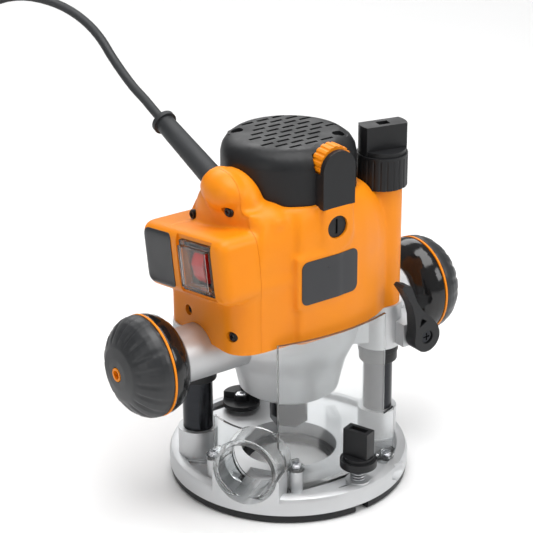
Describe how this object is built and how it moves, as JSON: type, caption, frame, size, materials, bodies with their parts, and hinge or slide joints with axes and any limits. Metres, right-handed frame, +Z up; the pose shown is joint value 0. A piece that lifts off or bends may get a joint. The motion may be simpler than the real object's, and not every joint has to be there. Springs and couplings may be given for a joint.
{
  "type": "plunge router",
  "caption": "Compact plunge router with round cast base, two plunge columns, side knobs, clear chip guard with hose port and mains lead.",
  "frame": {"origin": "centre of the round base on the surface it stands on", "axes": "+Z up along the columns, X through the two side knobs, -Y the front with the chip guard"},
  "size_m": [0.3364, 0.358, 0.3],
  "materials": {
    "cast_alloy": "satin, shot-blasted die casting",
    "orange_shell": "fine-textured orange nylon",
    "black_plastic": "fine-textured black nylon",
    "gloss_black": "gloss black moulding",
    "knob_black": "satin black moulding",
    "clear_guard": "clear polycarbonate",
    "steel": "zinc-plated steel",
    "dark_steel": "blackened ground steel",
    "ground_steel": "ground steel",
    "spring_steel": "spring wire",
    "cord_rubber": "matt rubber sheath",
    "red_switch": "gloss red rocker",
    "label": "printed film, blank",
    "brass": "pressed brass",
    "copper": "copper",
    "winding": "enamelled copper wire",
    "lamination": "stacked electrical steel",
    "carbon": "graphite",
    "circuit_board": "solder-masked board",
    "fan_plastic": "natural nylon"
  },
  "bodies": {
    "base": {"base_casting": "cast_alloy", "sole_plate": "black_plastic", "sole_screws": "steel", "column_left": "dark_steel", "column_right": "dark_steel", "dust_guard": "clear_guard", "guard_screws": "steel", "fence_springs": "spring_steel", "turret_screw": "steel", "mains_cord": "cord_rubber", "cord_coil": "cord_rubber", "plug_body": "cord_rubber", "plug_pins": "steel", "plunge_springs": "spring_steel"},
    "fence_knob_a": {"fence_knob_front": "black_plastic"},
    "fence_knob_b": {"fence_knob_rear": "black_plastic"},
    "turret": {"turret_stop": "black_plastic"},
    "carriage": {"carriage_casting": "cast_alloy", "column_seals": "black_plastic", "motor_housing": "orange_shell", "switch_housing": "orange_shell", "shell_screws": "dark_steel", "top_cap": "black_plastic", "cap_screws": "steel", "front_badge": "label", "rating_plate": "label", "brush_caps": "black_plastic", "brush_holders": "brass", "carbon_brushes": "carbon", "brush_springs": "spring_steel", "stator_core": "lamination", "field_coils": "winding", "speed_board": "circuit_board", "cord_guard": "cord_rubber", "cord_clamp": "black_plastic", "switch_body": "black_plastic", "switch_boot": "clear_guard", "knob_left_front": "knob_black", "knob_left_ring": "orange_shell", "knob_left_back": "gloss_black", "knob_right_front": "knob_black", "knob_right_ring": "orange_shell", "knob_right_back": "gloss_black", "knob_inserts": "orange_shell", "knob_bolts": "steel", "shaft_bearings": "ground_steel"},
    "lever": {"lock_lever": "black_plastic", "lever_screw": "dark_steel", "clamp_bolt": "steel"},
    "height": {"height_knob": "black_plastic", "height_screw": "steel"},
    "rod": {"depth_rod": "ground_steel"},
    "dial": {"speed_dial": "orange_shell"},
    "rocker": {"switch_rocker": "red_switch"},
    "rotor": {"armature_shaft": "ground_steel", "armature_core": "lamination", "commutator": "copper", "cooling_fan": "fan_plastic", "collet": "ground_steel", "collet_nut": "dark_steel"}
  },
  "joints": [
    {"name": "plunge", "type": "slide", "parent": "base", "child": "carriage", "axis": [0, 0, 1], "range_m": [-0.033, 0], "stiffness_N_per_m": 400, "springref_m": 0.08, "deforming": ["plunge_springs"]},
    {"name": "lock_lever_turn", "type": "hinge", "parent": "carriage", "child": "lever", "pos_m": [0.072, -0.05, 0.096], "axis": [0, -1, 0], "range_deg": [-55, 0]},
    {"name": "height_knob_turn", "type": "hinge", "parent": "carriage", "child": "height", "pos_m": [0.05711, -0.02308, 0.2], "axis": [0, 0, 1], "continuous": true},
    {"name": "depth_rod_slide", "type": "slide", "parent": "carriage", "child": "rod", "axis": [0, 0, 1], "range_m": [0, 0.02]},
    {"name": "speed_dial_turn", "type": "hinge", "parent": "carriage", "child": "dial", "pos_m": [0.0024, -0.042, 0.2285], "axis": [0, -1, 0], "range_deg": [0, 270]},
    {"name": "switch_rock", "type": "hinge", "parent": "carriage", "child": "rocker", "pos_m": [-0.066, -0.01382, 0.16865], "axis": [0, 0.9863, -0.165], "range_deg": [0, 16]},
    {"name": "spindle_spin", "type": "hinge", "parent": "carriage", "child": "rotor", "pos_m": [0, 0, 0.1], "axis": [0, 0, 1], "continuous": true},
    {"name": "fence_knob_front_turn", "type": "hinge", "parent": "base", "child": "fence_knob_a", "pos_m": [0.005, -0.07, 0.03], "axis": [0, 0, 1], "continuous": true},
    {"name": "fence_knob_rear_turn", "type": "hinge", "parent": "base", "child": "fence_knob_b", "pos_m": [0.028, 0.07, 0.03], "axis": [0, 0, 1], "continuous": true},
    {"name": "turret_turn", "type": "hinge", "parent": "base", "child": "turret", "pos_m": [0.003, 0.06, 0.02], "axis": [0, 0, 1], "range_deg": [0, 180]}
  ]
}
